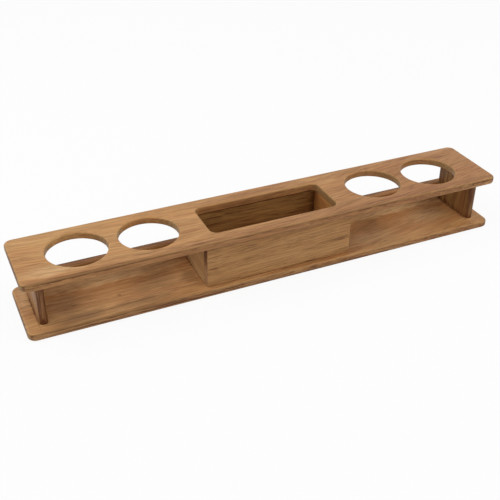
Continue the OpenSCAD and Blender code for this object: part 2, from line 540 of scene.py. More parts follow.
# %% Uprights
END_BITE = 0.017
UPRIGHT_BACK_BITE = 0.011
back_dowel_low, back_dowel_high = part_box("rail_upright_dowels")
back_dowel_z = (back_dowel_low.z + back_dowel_high.z) / 2


def make_upright(name):
    low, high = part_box(name)
    half = (high.x - low.x) / 2
    middle = (low.x + high.x) / 2
    nose = low.y + half
    bm = bmesh.new()
    chain = stand_chain(bm, [(low.x, nose, low.z), (low.x, nose, high.z)])
    chain = turn_chain(bm, chain, (middle, nose, 0), 2 * QUARTER, 2 * CORNER_STEPS)
    for way in ((0, high.y - nose, 0), (-2 * half, 0, 0), (0, nose - high.y, 0)):
        chain = push_chain(bm, chain, way)
    weld(bm)
    for x, y in upright_places:
        if low.x < x < high.x:
            drill(bm, (x, y, low.z), Z, END_BITE)
            drill(bm, (x, y, high.z), -Z, END_BITE)
    open_face(bm, Y, high.y)
    drill(bm, (middle, high.y, back_dowel_z), -Y, UPRIGHT_BACK_BITE)
    for way, level in ((Y, high.y), (Z, high.z), (Z, low.z)):
        fill_face(bm, way, level)
    return finish_piece(bm, name, "teak_upright")


uprights = [make_upright(name) for name in ("left_upright", "right_upright")]

# %% [markdown]
# ## The box
#
# Four panels make the box. The long ones cover the ends of the short ones, and
# their standing edges are eased so that a hand doesn't catch on them. Where the
# panels meet, the face is opened, drilled for the dowels and filled again.

# %% Box panels
LONG_ARRIS = 0.001
SHORT_ARRIS = 0.0003
ARRIS_STEPS = 4
FACE_BITE = 0.009
corner_low, corner_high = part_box("box_corner_dowels")
corner_places = [(x, z) for x in (corner_low.x + DOWEL_RADIUS, corner_high.x - DOWEL_RADIUS)
                 for z in (corner_low.z + DOWEL_RADIUS, corner_high.z - DOWEL_RADIUS)]


def make_panel(name, slot, arris, corner_depth, end_places):
    """A panel with eased standing edges and the holes for its dowels."""
    low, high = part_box(name)
    middle = (low + high) / 2
    half = (high - low) / 2
    bm = bmesh.new()
    profile = [(arris, low.z), (arris, high.z)]
    carry_round(bm, profile, half.x - arris, half.y - arris, ARRIS_STEPS)
    bmesh.ops.translate(bm, verts=bm.verts, vec=(middle.x, middle.y, 0))
    for x, y in end_places:
        drill(bm, (x, y, low.z), Z, END_BITE)
        drill(bm, (x, y, high.z), -Z, END_BITE)
    for level in (low.y, high.y):
        if abs(abs(level) - side_high.y) < FACE_REACH:
            inward = Y if level == low.y else -Y
            open_face(bm, Y, level)
            for x, z in corner_places:
                if low.x < x < high.x:
                    drill(bm, (x, level, z), inward, corner_depth)
            fill_face(bm, Y, level)
    for level in (low.z, high.z):
        fill_face(bm, Z, level)
    return finish_piece(bm, name, slot)


front_places = [(x, y) for x, y in box_places if y < 0]
back_places = [(x, y) for x, y in box_places if y > 0]
box_front = make_panel("box_front", "teak_front", LONG_ARRIS, FACE_BITE, front_places)
box_back = make_panel("box_back", "teak_panel", LONG_ARRIS, FACE_BITE, back_places)
box_sides = [make_panel(name, "teak_side", SHORT_ARRIS, END_BITE, [])
             for name in ("box_left_side", "box_right_side")]

# %% [markdown]
# ## Rails
#
# A low rail closes the back of each bay. It is a plain strip with its two upper
# edges rounded, so a cube and one bevel make it.

# %% Rails
RAIL_ROUND = 0.002


def make_rail(name):
    low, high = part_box(name)
    bm = bmesh.new()
    bmesh.ops.create_cube(bm, size=1)
    bmesh.ops.scale(bm, verts=bm.verts, vec=high - low)
    bmesh.ops.translate(bm, verts=bm.verts, vec=(low + high) / 2)
    long_top = [edge for edge in bm.edges if all(vert.co.z > high.z - WELD for vert in edge.verts)
                and abs(edge.verts[0].co.y - edge.verts[1].co.y) < WELD]
    bmesh.ops.bevel(
        bm, geom=long_top, offset=RAIL_ROUND, segments=ROUND_STEPS, profile=0.5,
        affect="EDGES", material=-1)
    open_face(bm, Z, low.z)
    open_face(bm, Y, low.y)
    for x, y in rail_places:
        if low.x < x < high.x:
            drill(bm, (x, y, low.z), Z, END_BITE)
    upright_x = [x for x, y in upright_places if low.x < x < high.x][0]
    drill(bm, (upright_x, low.y, back_dowel_z), Y, FACE_BITE)
    fill_face(bm, Z, low.z)
    fill_face(bm, Y, low.y)
    return finish_piece(bm, name, "teak_rail")


rails = [make_rail(name) for name in ("left_rail", "right_rail")]

# %% [markdown]
# ## How oiled teak is built up
#
# Wood is a solid pattern, not a picture pasted on. A board is cut out of a trunk,
# so its figure comes from the trunk's growth rings, and the same rings have to
# meet on the face, the edge and the end of the board. That is why every pattern
# here reads the object's own coordinates in three dimensions.
#
# We build the looks from small groups, each with one job: the run of the grain,
# the growth rings, the fibres and pores, marks placed by hand, and the end grain.
# One more group mixes them into a colour. Each piece then places that group with
# its own values, because no two pieces come from the same part of the trunk.
# First come a few helpers, so that a tree of nodes reads like a short formula.

# %% Colours and nodes
def tone(red, green, blue):
    """A colour as seen on a screen, 0 to 255, in the linear values that shaders use."""
    def linear(level):
        share = level / 255
        return share / 12.92 if share <= 0.04045 else ((share + 0.055) / 1.055) ** 2.4

    return linear(red), linear(green), linear(blue), 1


def plug(tree, socket, value):
    """Link a socket's value, or write a plain one in."""
    if isinstance(value, bpy.types.NodeSocket):
        tree.links.new(value, socket)
    else:
        socket.default_value = value


def add(tree, kind, inputs, **settings):
    """A node with its settings made, and its named inputs plugged in."""
    made = tree.nodes.new(kind)
    for name, value in settings.items():
        setattr(made, name, value)
    for name, value in inputs.items():
        plug(tree, made.inputs[name], value)
    return made


print("half grey in linear values:", round(tone(128, 128, 128)[0], 3))

# %% [markdown]
# A pattern is worked out in many small steps, each a node of its own. Most are
# plain arithmetic. Two more steps are used over and over: to stretch one range
# of numbers smoothly onto another, and to mix two colours by a share.

# %% Steps of arithmetic
# The places of the sockets that a Mix node uses for colours
MIX_SHARE = 0
MIX_FIRST = 6
MIX_SECOND = 7
MIX_RESULT = 2


def work_out(tree, operation, *values):
    """One step of arithmetic on numbers."""
    made = tree.nodes.new("ShaderNodeMath")
    made.operation = operation
    for socket, value in zip(made.inputs, values):
        plug(tree, socket, value)
    return made.outputs[0]


def work_out_vector(tree, operation, first, second, result="Vector"):
    """One step of arithmetic on two vectors."""
    inputs = {0: first, 1: second}
    return add(tree, "ShaderNodeVectorMath", inputs, operation=operation).outputs[result]


def split(tree, vector):
    """A vector's X, Y and Z, to be picked by name."""
    return add(tree, "ShaderNodeSeparateXYZ", {0: vector}).outputs


def join(tree, x, y, z):
    """A vector out of three numbers."""
    return add(tree, "ShaderNodeCombineXYZ", {0: x, 1: y, 2: z}).outputs[0]


def spread(tree, value, low, high, to_low=0.0, to_high=1.0):
    """Stretch a range smoothly onto another one."""
    inputs = {"Value": value, "From Min": low, "From Max": high, "To Min": to_low, "To Max": to_high}
    return add(tree, "ShaderNodeMapRange", inputs, interpolation_type="SMOOTHSTEP").outputs[0]


def blend(tree, share, first, second):
    """Mix two colours."""
    made = add(tree, "ShaderNodeMix", {}, data_type="RGBA")
    for place, value in ((MIX_SHARE, share), (MIX_FIRST, first), (MIX_SECOND, second)):
        plug(tree, made.inputs[place], value)
    return made.outputs[MIX_RESULT]


print("a Mix node takes its two colours at sockets", MIX_FIRST, "and", MIX_SECOND)

# %% [markdown]
# Nearly everything in wood is long and thin. Noise that is squeezed across the
# grain looks pulled out along it, so one helper makes all the streaks.

# %% Noise along the grain
def noise(tree, vector, scale, detail=2.0, rough=0.5):
    """Plain noise around one half."""
    inputs = {"Vector": vector, "Scale": scale, "Detail": detail, "Roughness": rough}
    return add(tree, "ShaderNodeTexNoise", inputs).outputs["Fac"]


def stretch(tree, vector, along, across):
    """Scale the coordinates differently along and across the grain."""
    return work_out_vector(tree, "MULTIPLY", vector, (along, across, across))


def long_noise(tree, grain, pull, detail=2.0, rough=0.5):
    """Noise pulled out along the grain, by its waves a metre along and across."""
    return noise(tree, stretch(tree, grain, *pull), 1.0, detail, rough)


print("noise can be plain, or pulled out along the grain")

# %% [markdown]
# A group is a small tree with named inputs and outputs. It is made once, and then
# placed wherever it is needed, with the values of that place.

# %% Groups
def new_group(name, inputs, outputs):
    """An empty group with its named sockets, and its two end nodes."""
    tree = bpy.data.node_groups.new(name, "ShaderNodeTree")
    kinds = {"v": "NodeSocketVector", "f": "NodeSocketFloat", "c": "NodeSocketColor"}
    for row, way in [(row, "INPUT") for row in inputs] + [(row, "OUTPUT") for row in outputs]:
        socket = tree.interface.new_socket(row[0], in_out=way, socket_type=kinds[row[1]])
        if len(row) > 2:
            socket.default_value = row[2]
    print(f"group {name}: {len(inputs)} inputs, {len(outputs)} outputs")
    return tree, tree.nodes.new("NodeGroupInput").outputs, tree.nodes.new("NodeGroupOutput").inputs


def place_group(tree, group, inputs):
    """A group set into a tree, with its values."""
    made = tree.nodes.new("ShaderNodeGroup")
    made.node_tree = group
    for name, value in inputs.items():
        plug(tree, made.inputs[name], value)
    return made.outputs


print("groups made so far:", len(bpy.data.node_groups))

# %% [markdown]
# ### The run of the grain
#
# Grain hardly ever runs straight down a board. It starts at some slope, sweeps
# round as the trunk bends, and wanders a little. This group bends the coordinates
# once, and every other pattern is laid on the bent ones, so they all agree.

# %% Grain run group
WANDER_WAVES = (5.0, 14.0)


def grain_run_group():
    inputs = [("Place", "v"), ("Slope", "f", 0.0), ("Sweep", "f", 0.0), ("Wander", "f", 0.004)]
    tree, given, result = new_group("grain_run", inputs, [("Grain", "v")])
    parts = split(tree, given["Place"])
    half_sweep = work_out(tree, "MULTIPLY", given["Sweep"], 0.5)
    slope = work_out(tree, "MULTIPLY_ADD", parts["X"], half_sweep, given["Slope"])
    rise = work_out(tree, "MULTIPLY", parts["X"], slope)
    wave = work_out(tree, "SUBTRACT", long_noise(tree, given["Place"], WANDER_WAVES), 0.5)
    level = work_out(tree, "SUBTRACT", parts["Y"], rise)
    bent = work_out(tree, "MULTIPLY_ADD", wave, given["Wander"], level)
    plug(tree, result["Grain"], join(tree, parts["X"], bent, parts["Z"]))
    return tree


GRAIN_RUN = grain_run_group()

# %% [markdown]
# ### Growth rings
#
# A ring's radius is the distance from the pith, the line at the heart of the
# trunk. Dividing it by the ring spacing and keeping the fraction gives a saw
# tooth: pale early wood that darkens slowly and ends in a thin dark line. The
# whole part counts the rings, and a random number for each count makes some of
# them strong and some faint, as good and poor summers do.

# %% Growth ring group
RIPPLE_WAVES = (9.0, 60.0)
RIPPLE_RINGS = 0.3
UNEVEN_PACE = 0.37
UNEVEN_RINGS = 1.6
RING_DARKENS = (0.15, 0.86)
RING_ENDS = (0.88, 1.0)
YEARS = (0.1, 1.0)
FAINTEST_RING = 0.25
PATCH_WAVES = (7.0, 30.0)
PATCHES_SHOW = (0.3, 0.7)
FAINTEST_PATCH = 0.35


def growth_ring_group():
    inputs = [("Grain", "v"), ("Pith Y", "f", 0.0), ("Pith Z", "f", -0.05), ("Spacing", "f", 0.004)]
    tree, given, result = new_group("growth_rings", inputs, [("Rings", "f")])
    parts = split(tree, given["Grain"])
    across = work_out(tree, "SUBTRACT", parts["Y"], given["Pith Y"])
    above = work_out(tree, "SUBTRACT", parts["Z"], given["Pith Z"])
    square = work_out(tree, "MULTIPLY_ADD", above, above, work_out(tree, "MULTIPLY", across, across))
    rings_out = work_out(tree, "DIVIDE", work_out(tree, "SQRT", square), given["Spacing"])
    ripple = long_noise(tree, given["Grain"], RIPPLE_WAVES, 3.0)
    phase = work_out(tree, "MULTIPLY_ADD", ripple, RIPPLE_RINGS, rings_out)
    pace = noise(tree, work_out(tree, "MULTIPLY", phase, UNEVEN_PACE), 1.0, 1.0)
    phase = work_out(tree, "ADD", phase, work_out(tree, "MULTIPLY", pace, UNEVEN_RINGS))
    count = work_out(tree, "FLOOR", phase)
    part = work_out(tree, "SUBTRACT", phase, count)
    darkens = spread(tree, part, *RING_DARKENS)
    line = work_out(tree, "MULTIPLY", darkens, spread(tree, part, *RING_ENDS, 1.0, 0.0))
    year = add(tree, "ShaderNodeTexWhiteNoise", {"W": count}, noise_dimensions="1D").outputs["Value"]
    line = work_out(tree, "MULTIPLY", line, spread(tree, year, *YEARS, FAINTEST_RING, 1.0))
    patches = long_noise(tree, given["Grain"], PATCH_WAVES)
    patchy = spread(tree, patches, *PATCHES_SHOW, FAINTEST_PATCH, 1.0)
    plug(tree, result["Rings"], work_out(tree, "MULTIPLY", line, patchy))
    return tree


GROWTH_RINGS = growth_ring_group()

# %% [markdown]
# ### Fibres and pores
#
# Under the rings lie fibres, long and very thin, and pores, which are open
# vessels cut through lengthwise and show as short dark dashes. Dark threads, about
# as thin as the fibres, crowd together in places. Wider are bands of warmer wood,
# and a slow drift between a pale and a deep tone. All of them are noise, pulled
# out along the grain. Fineness packs them closer together across it.

# %% Fibre group
# Waves a metre, along and across the grain
COARSE_FIBRES = (14.0, 230.0)
FINE_FIBRES = (40.0, 620.0)
THREAD_LINES = (34.0, 560.0)
THREAD_CROWDS = (9.0, 60.0)
PORE_DASHES = (90.0, 1100.0)
TONE_DRIFT = (4.5, 22.0)
WARM_BANDS = (8.0, 95.0)
# The levels of noise from which they start to show, and at which they show in full
CROWDS_SHOW = (0.36, 0.62)
THREADS_SHOW = (0.53, 0.66)
PORES_SHOW = (0.58, 0.7)
BANDS_SHOW = (0.46, 0.64)


def fibre_group():
    tree, given, result = new_group("fibres", [("Grain", "v"), ("Fineness", "f", 1.0)], [
        ("Fibre", "f"), ("Threads", "f"), ("Pores", "f"), ("Drift", "f"), ("Bands", "f")])
    packed = join(tree, 1.0, given["Fineness"], given["Fineness"])
    grain = work_out_vector(tree, "MULTIPLY", given["Grain"], packed)
    coarse = work_out(tree, "MULTIPLY", long_noise(tree, grain, COARSE_FIBRES, 3.0, 0.6), 0.5)
    fine = long_noise(tree, grain, FINE_FIBRES, 2.0, 0.6)
    crowd = spread(tree, long_noise(tree, grain, THREAD_CROWDS, 1.0), *CROWDS_SHOW)
    threads = spread(tree, long_noise(tree, grain, THREAD_LINES, 1.0), *THREADS_SHOW)
    dashes = spread(tree, long_noise(tree, grain, PORE_DASHES, 1.0), *PORES_SHOW)
    plug(tree, result["Fibre"], work_out(tree, "MULTIPLY_ADD", fine, 0.5, coarse))
    plug(tree, result["Threads"], work_out(tree, "MULTIPLY", threads, crowd))
    plug(tree, result["Pores"], work_out(tree, "MULTIPLY", dashes, crowd))
    plug(tree, result["Drift"], long_noise(tree, grain, TONE_DRIFT, 3.0, 0.55))
    plug(tree, result["Bands"], spread(tree, long_noise(tree, grain, WARM_BANDS), *BANDS_SHOW))
    return tree


FIBRES = fibre_group()

# %% [markdown]
# ### Marks placed one by one
#
# A real board has a few marks that no even pattern would give: a mineral streak,
# a small knot, a darker patch, a pale stripe of sapwood. The same marks also paint
# shade, such as the dark line where another piece stands on it, and paint light.
# Each one is an ellipse with a soft, ragged edge, set down at a place, with a
# length, a width and a turn. The ellipse runs straight down through the piece, so
# a mark near an edge also shows on that edge.

# %% Mark group
RAG_WAVES = (60.0, 260.0)
RAG_REACH = 1.6
MARK_FADE = (1.25, 0.25)


def mark_group():
    tree, given, result = new_group("placed_mark", [
        ("Place", "v"), ("Spot", "v"), ("Turn", "f"),
        ("Half Length", "f", 0.02), ("Half Width", "f", 0.002), ("Strength", "f", 1.0)], [("Mark", "f")])
    waves = stretch(tree, given["Place"], *RAG_WAVES)
    rags = add(tree, "ShaderNodeTexNoise", {"Vector": waves, "Scale": 1.0})
    shift = work_out_vector(tree, "SUBTRACT", rags.outputs["Color"], (0.5, 0.5, 0.5))
    reach = work_out(tree, "MULTIPLY", given["Half Width"], RAG_REACH)
    shift = add(tree, "ShaderNodeVectorMath", {0: shift, "Scale": reach}, operation="SCALE").outputs[0]
    near = work_out_vector(tree, "SUBTRACT", given["Place"], given["Spot"])
    near = work_out_vector(tree, "ADD", near, shift)
    back_turn = {"Vector": near, "Angle": work_out(tree, "MULTIPLY", given["Turn"], -1.0)}
    turned = add(tree, "ShaderNodeVectorRotate", back_turn, rotation_type="Z_AXIS").outputs[0]
    parts = split(tree, turned)
    along = work_out(tree, "DIVIDE", parts["X"], given["Half Length"])
    aside = work_out(tree, "DIVIDE", parts["Y"], given["Half Width"])
    square = work_out(tree, "MULTIPLY_ADD", along, along, work_out(tree, "MULTIPLY", aside, aside))
    soft = spread(tree, work_out(tree, "SQRT", square), *MARK_FADE)
    plug(tree, result["Mark"], work_out(tree, "MULTIPLY", soft, given["Strength"]))
    return tree


MARK = mark_group()

# %% [markdown]
# A piece's marks are written as rows of numbers, in millimetres and degrees, so
# that they can be read off a ruler laid on the wood.

# %% Marks from rows
MM_PER_METRE = 1000


def place_marks(tree, place, rows):
    """Put down one mark for each row, and keep the strongest where they meet.

    A row is x, y, half length, half width in millimetres, turn in degrees, strength.
    """
    found = None
    for x, y, half_length, half_width, turn, strength in rows:
        mark = place_group(tree, MARK, {
            "Place": place, "Spot": (x / MM_PER_METRE, y / MM_PER_METRE, 0), "Turn": math.radians(turn),
            "Half Length": half_length / MM_PER_METRE, "Half Width": half_width / MM_PER_METRE,
            "Strength": strength})["Mark"]
        found = mark if found is None else work_out(tree, "MAXIMUM", found, mark)
    return 0.0 if found is None else found


print("marks are placed in millimetres,", MM_PER_METRE, "to the metre")

# %% [markdown]
# ### End grain, rim highlights and edge shade
#
# Where a cut runs across the fibres, the wood soaks up more oil and looks darker
# and greyer. The surface's normal tells us where: the more it points along the
# grain, the more end grain there is. A rounded rim is found the same way, as
# the places where the normal is neither level nor upright, and it gets a painted
# highlight. A third mask finds the faces that look to the front or the back,
# where a board shows its long edge, and these get painted shade.

# %% End grain group
END_FACING = (0.45, 0.95)
RIM_STARTS = (0.2, 0.6)
RIM_ENDS = (0.995, 0.85)
EDGE_FACING = (0.35, 0.75)


def end_grain_group():
    masks = [("End", "f"), ("Rim Highlight", "f"), ("Edge", "f")]
    tree, given, result = new_group("end_grain", [("Way", "v", (1, 0, 0))], masks)
    normal = tree.nodes.new("ShaderNodeTexCoord").outputs["Normal"]
    facing = work_out_vector(tree, "DOT_PRODUCT", normal, given["Way"], "Value")
    plug(tree, result["End"], spread(tree, work_out(tree, "ABSOLUTE", facing), *END_FACING))
    parts = split(tree, normal)
    upright = work_out(tree, "ABSOLUTE", parts["Z"])
    rim_starts = spread(tree, upright, *RIM_STARTS)
    rim_ends = spread(tree, upright, *RIM_ENDS)
    plug(tree, result["Rim Highlight"], work_out(tree, "MULTIPLY", rim_starts, rim_ends))
    plug(tree, result["Edge"], spread(tree, work_out(tree, "ABSOLUTE", parts["Y"]), *EDGE_FACING))
    return tree


END_GRAIN = end_grain_group()

# %% [markdown]
# ### The colour of teak
#
# The last group mixes it all. Two tones drift into each other along the board,
# with warmer bands in them, and pale sapwood and dark stain lie over that, along
# with painted light and painted shade. Rings, fibres, threads, pores and marks
# then darken it, and painted shade darkens faces that look to the front or back.
# Ends go duller, and rounded rims get a paler painted highlight. Height and
# roughness come out too, for the bump and the satin shine of an oiled surface.

# %% The teak group's sockets
TEAK_INPUTS = [
    ("Place", "v"), ("Grain Way", "v", (1, 0, 0)),
    ("Slope", "f"), ("Sweep", "f"), ("Wander", "f", 0.004),
    ("Pith Y", "f"), ("Pith Z", "f", -0.05), ("Spacing", "f", 0.004), ("Fineness", "f", 1.0),
    ("Ring Depth", "f", 0.4), ("Fibre Depth", "f", 0.4), ("Thread Depth", "f", 0.35),
    ("Edge Painted Shade", "f"), ("Warm Share", "f", 0.5), ("Rim Share", "f", 0.3), ("End Share", "f", 0.8),
    ("Pale", "c"), ("Deep", "c"), ("Warm", "c"), ("Dark", "c"),
    ("End", "c"), ("Rim Highlight", "c"), ("Stain And Shade Tone", "c"), ("Sapwood And Light Tone", "c"),
    ("Marks", "f"), ("Edge Lines And Shade", "f"), ("Shade And Stains", "f"), ("Pale Streaks And Painted Light", "f"),
]
TEAK_OUTPUTS = [("Colour", "c"), ("Height", "f"), ("Roughness", "f")]
print("teak has", len(TEAK_INPUTS), "inputs and", len(TEAK_OUTPUTS), "outputs")

# %% [markdown]
# Shade is added up from all the dark parts, and a limit keeps even the darkest
# spot from going black. Open pores and ring lines lie a little lower than the
# fibres between them, and the fibres' tops are polished a little brighter.

# %% Teak group
DRIFT_TURNS = (0.36, 0.64)
FIBRE_DARKENS = (0.6, 0.4)
PORE_DEPTH = 0.3
DARKEST = 0.95
PORE_DIP = 0.8
RING_DIP = 0.15
FIBRE_SHINES = (0.3, 0.7, 0.56, 0.44)


def handed_on(given, *names):
    """The same values, under the same names, for a group inside this one."""
    return {name: given[name] for name in names}


def teak_group():
    tree, given, result = new_group("teak", TEAK_INPUTS, TEAK_OUTPUTS)
    run = handed_on(given, "Place", "Slope", "Sweep", "Wander")
    grain = place_group(tree, GRAIN_RUN, run)["Grain"]
    trunk = handed_on(given, "Pith Y", "Pith Z", "Spacing")
    rings = place_group(tree, GROWTH_RINGS, {"Grain": grain, **trunk})["Rings"]
    fibres = place_group(tree, FIBRES, {"Grain": grain, "Fineness": given["Fineness"]})
    edge = place_group(tree, END_GRAIN, {"Way": given["Grain Way"]})

    ground = blend(tree, spread(tree, fibres["Drift"], *DRIFT_TURNS), given["Pale"], given["Deep"])
    warm = work_out(tree, "MULTIPLY", fibres["Bands"], given["Warm Share"])
    # The sapwood mix also carries painted light.
    # The stain mix also carries painted shade.
    for share, colour in ((warm, "Warm"), (given["Pale Streaks And Painted Light"], "Sapwood And Light Tone"), (given["Shade And Stains"], "Stain And Shade Tone")):
        ground = blend(tree, share, ground, given[colour])

    shade = work_out(tree, "MULTIPLY", rings, given["Ring Depth"])
    # Painted shade: the edge depth darkens faces that look to the front or the back, and the edge marks
    # add painted shade along the arrises.
    for pattern_share, depth in (
            (spread(tree, fibres["Fibre"], *FIBRE_DARKENS), given["Fibre Depth"]),
            (fibres["Threads"], given["Thread Depth"]), (fibres["Pores"], PORE_DEPTH),
            (edge["Edge"], given["Edge Painted Shade"]), (edge["Edge"], given["Edge Lines And Shade"])):
        shade = work_out(tree, "MULTIPLY_ADD", pattern_share, depth, shade)
    shade = work_out(tree, "ADD", shade, given["Marks"])
    shade = add(tree, "ShaderNodeClamp", {"Value": shade, "Max": DARKEST}).outputs[0]

    wood = blend(tree, shade, ground, given["Dark"])
    # A painted highlight: rounded rims are mixed towards the paler rim tone.
    wood = blend(tree, work_out(tree, "MULTIPLY", edge["Rim Highlight"], given["Rim Share"]), wood, given["Rim Highlight"])
    ends = blend(tree, shade, given["End"], given["Dark"])
    end_share = work_out(tree, "MULTIPLY", edge["End"], given["End Share"])
    plug(tree, result["Colour"], blend(tree, end_share, wood, ends))

    pore_dips = work_out(tree, "MULTIPLY", fibres["Pores"], PORE_DIP)
    ring_dips = work_out(tree, "MULTIPLY", rings, RING_DIP)
    height = work_out(tree, "SUBTRACT", fibres["Fibre"], pore_dips)
    plug(tree, result["Height"], work_out(tree, "SUBTRACT", height, ring_dips))
    plug(tree, result["Roughness"], spread(tree, fibres["Fibre"], *FIBRE_SHINES))
    return tree


TEAK = teak_group()

# %% [markdown]
# ### One teak material for each piece
#
# Patterns run along X, so each piece's coordinates are turned until its grain
# does too, and its marks are placed on the turned coordinates. A piece without
# tones of its own takes the usual ones.

# %% Tones and shine of teak
TEAK_TONES = {
    "Pale": tone(214, 164, 108), "Deep": tone(192, 138, 84), "Warm": tone(186, 122, 74),
    # The rim tone is a painted highlight on rounded rims.
    "Dark": tone(92, 50, 22), "End": tone(158, 128, 84), "Rim Highlight": tone(212, 166, 104),
    # The sapwood tone also serves as the colour of painted light.
    # The stain tone also serves as the colour of painted shade.
    "Stain And Shade Tone": tone(118, 88, 58), "Sapwood And Light Tone": tone(238, 198, 146),
}
SATIN = 0.25
BUMP_STRENGTH = 0.35
BUMP_DISTANCE = 0.0003
print("teak has", len(TEAK_TONES), "tones:", ", ".join(TEAK_TONES))

# %% [markdown]
# A board also has marks on its long edges: some are grain lines, and some are
# painted shade along the arrises. They are laid on length and height, and kept
# to a strip along the edges, so that they don't come out again on the walls of
# the holes.

# %% A teak material
AS_IT_LIES = (0, 0, 0)
LAY_FLAT = (-QUARTER, 0, 0)
EDGE_STRIP = (0.048, 0.053)


def turn_place(tree, place, turn):
    """Coordinates turned about the origin."""
    return add(tree, "ShaderNodeMapping", {"Vector": place, "Rotation": turn}).outputs[0]


def place_edge_lines_and_shade(tree, place, rows):
    """Lines and painted shade on a board's long edges, in rows of x, z and the rest."""
    from_middle = work_out(tree, "ABSOLUTE", split(tree, place)["Y"])
    marks = place_marks(tree, turn_place(tree, place, LAY_FLAT), rows)
    return work_out(tree, "MULTIPLY", marks, spread(tree, from_middle, *EDGE_STRIP))


def teak_material(name, values, turn=AS_IT_LIES, marks=(), shade_and_stains=(), pale_streaks_and_light=(), edge_lines_and_shade=()):
    """One piece's own teak: its place in the trunk, its tones and its marks."""
    material = bpy.data.materials.new(name)
    material.use_nodes = True
    tree = material.node_tree
    shader = tree.nodes["Principled BSDF"]
    shader.inputs["Specular IOR Level"].default_value = SATIN
    place = tree.nodes.new("ShaderNodeTexCoord").outputs["Object"]
    turned = turn_place(tree, place, turn)
    settings = {**TEAK_TONES, **values, "Place": turned}
    for socket, rows in (("Marks", marks), ("Shade And Stains", shade_and_stains), ("Pale Streaks And Painted Light", pale_streaks_and_light)):
        settings[socket] = place_marks(tree, turned, rows)
    if edge_lines_and_shade:
        settings["Edge Lines And Shade"] = place_edge_lines_and_shade(tree, place, edge_lines_and_shade)
    teak = place_group(tree, TEAK, settings)
    plug(tree, shader.inputs["Base Color"], teak["Colour"])
    plug(tree, shader.inputs["Roughness"], teak["Roughness"])
    bumps = {"Height": teak["Height"], "Strength": BUMP_STRENGTH, "Distance": BUMP_DISTANCE}
    plug(tree, shader.inputs["Normal"], add(tree, "ShaderNodeBump", bumps).outputs["Normal"])
    return material


def dress(piece, material):
    """Give a piece this material, and no other."""
    piece.data.materials.clear()
    piece.data.materials.append(material)
    print(f"{piece.name} wears {material.name}")


# %% [markdown]
# ### Teak for the boards
#
# The two boards show most, so they get the most marks of their own. The top board
# is pale and yellowish at its left end, and darker and redder to the right, where
# the figure climbs; that darkening is partly painted shade. Long dark lines run
# along both of its long edges, partly grain and partly painted shade on the arrises.

# %% Top board's teak
TOP_MARKS = [
    # x, y, half length, half width (mm), turn (degrees), strength
    (-326, -15, 22, 1.6, 0, 0.30), (-193, -35, 14, 1.8, -18, 0.25), (-120, -52, 22, 2.2, 3, 0.35),
    (-60, -50, 18, 1.4, -4, 0.22), (20, -47, 30, 1.5, 2, 0.20), (140, -51, 40, 2.2, 4, 0.35),
    (190, -48, 22, 1.6, 8, 0.28), (310, 32, 16, 1.8, 3, 0.35), (216, -34, 10, 3.0, 40, 0.22),
    (170, 47, 26, 1.3, 24, 0.22), (140, 38, 18, 1.2, 28, 0.2), (255, 50, 30, 1.4, 12, 0.2),
    (-20, 45, 40, 1.5, -3, 0.16), (60, 51, 40, 1.2, 2, 0.2), (347, -53, 8, 3.0, 50, 0.4),
    # Painted shade along the front arris
    (-270, -55.0, 110, 1.9, 0, 0.5), (120, -55, 80, 2.6, 0, 0.28),
    # The two sawn ends, with painted shade on them
    (-350.6, -8, 56, 2.2, 90, 0.8), (350.4, 0, 62, 1.8, 90, 0.6),
]
# Darker, redder wood over the right half, partly painted shade where the light falls off, and painted
# shade along the front and back arrises.
TOP_STAINS_AND_SHADE = [
    (270, 0, 270, 110, 0, 0.6), (0, -56, 420, 14, 0, 0.65), (110, -42, 230, 22, 0, 0.6),
    (235, -51, 150, 14, 0, 0.88), (40, 57, 230, 12, 0, 0.45), (0, 42, 110, 17, 0, 0.6),
    (-150, -8, 70, 38, 0, 0.32), (215, -33, 44, 13, 0, 0.8),
]
TOP_SAP_STREAKS = [(265, 44, 60, 3, 0, 0.3), (-300, -35, 52, 14, 0, 0.55), (312, 51, 44, 7, 0, 0.35)]
# Lines on the long edges, partly grain and partly painted shade along the arrises.
TOP_EDGE_LINES_AND_SHADE = [
    # x, z, half length, half width (mm), turn (degrees), strength
    (0, 83.5, 470, 1.7, 0, 0.62), (-290, 83.4, 110, 2.2, 0, 0.85), (-190, 83.4, 60, 1.7, 0, 0.7),
    (150, 83.3, 80, 1.7, 0, 0.8), (330, 82.4, 34, 2.6, 0, 0.7), (-335, 79.6, 26, 1.6, 0, 0.35),
    (-180, 77.8, 48, 0.7, 0, 0.15), (216, 81.2, 60, 0.8, 0, 0.2), (290, 79.4, 56, 0.9, 0, 0.3),
    (-20, 75.6, 140, 1.3, 0, 0.5),
]
TOP_TEAK = {
    "Slope": 0.05, "Sweep": 0.6, "Wander": 0.009, "Pith Y": 0.012, "Pith Z": 0.03, "Spacing": 0.0042,
    "Fineness": 1.3, "Ring Depth": 0.16, "Fibre Depth": 0.32, "Thread Depth": 0.26, "Edge Painted Shade": 0.03,
    "Warm Share": 0.28, "Pale": tone(213, 164, 106), "Deep": tone(203, 149, 92),
    "Stain And Shade Tone": tone(160, 108, 68),
}
dress(top_board, teak_material(
    "oiled_teak_top", TOP_TEAK, marks=TOP_MARKS, shade_and_stains=TOP_STAINS_AND_SHADE, pale_streaks_and_light=TOP_SAP_STREAKS,
    edge_lines_and_shade=TOP_EDGE_LINES_AND_SHADE))

# %% [markdown]
# The base board lies in the shade of the top one. Painted light makes it paler
# along its back and in a few patches, and painted shade darkens soft patches in
# the bays, its front beside the left upright, and its sawn ends and long edges.
# It has a small knot in the left bay, and a line of painted shade beside each
# upright and beside the left end of the box.

